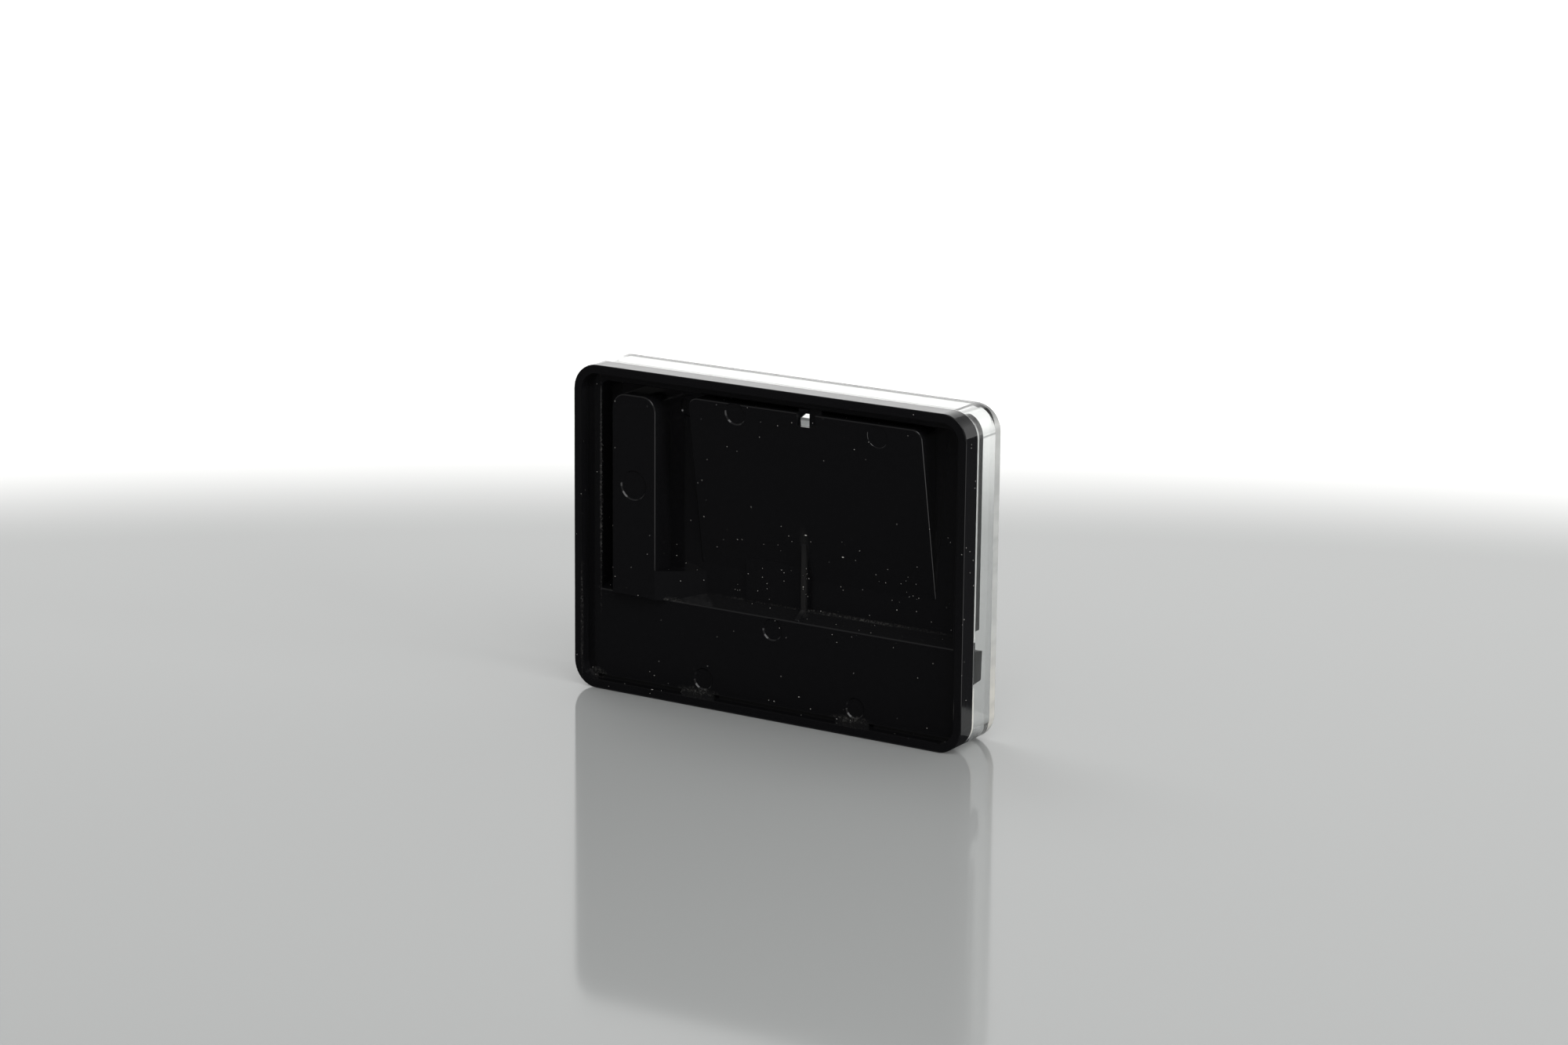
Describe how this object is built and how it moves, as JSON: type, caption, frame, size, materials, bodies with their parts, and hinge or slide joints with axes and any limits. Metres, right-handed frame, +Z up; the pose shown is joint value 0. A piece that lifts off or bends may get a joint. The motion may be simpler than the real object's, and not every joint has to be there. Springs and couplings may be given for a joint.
{
  "type": "film plate case",
  "caption": "Slim pocket case: a black moulded tray with a clear push-on cover, holding a small matte plate and tweezers.",
  "frame": {"origin": "middle of the long edge that the case stands on", "axes": "+X along the width, +Y from the tray's rim to the clear cover, +Z up"},
  "size_m": [0.0676, 0.01, 0.05],
  "materials": {
    "black_moulding": "gloss black polystyrene",
    "clear_moulding": "clear polystyrene",
    "matte_plate": "fine matte acrylic",
    "tool_steel": "brushed stainless steel"
  },
  "bodies": {
    "tray": {"tray": "black_moulding", "stored_plate": "matte_plate", "tweezer_front_arm": "tool_steel", "tweezer_rear_arm": "tool_steel", "tweezer_rivet": "tool_steel"},
    "cover": {"cover": "clear_moulding"}
  },
  "joints": [
    {"name": "cover_slide", "type": "slide", "parent": "tray", "child": "cover", "axis": [0, 1, 0], "range_m": [0, 0.02]}
  ]
}
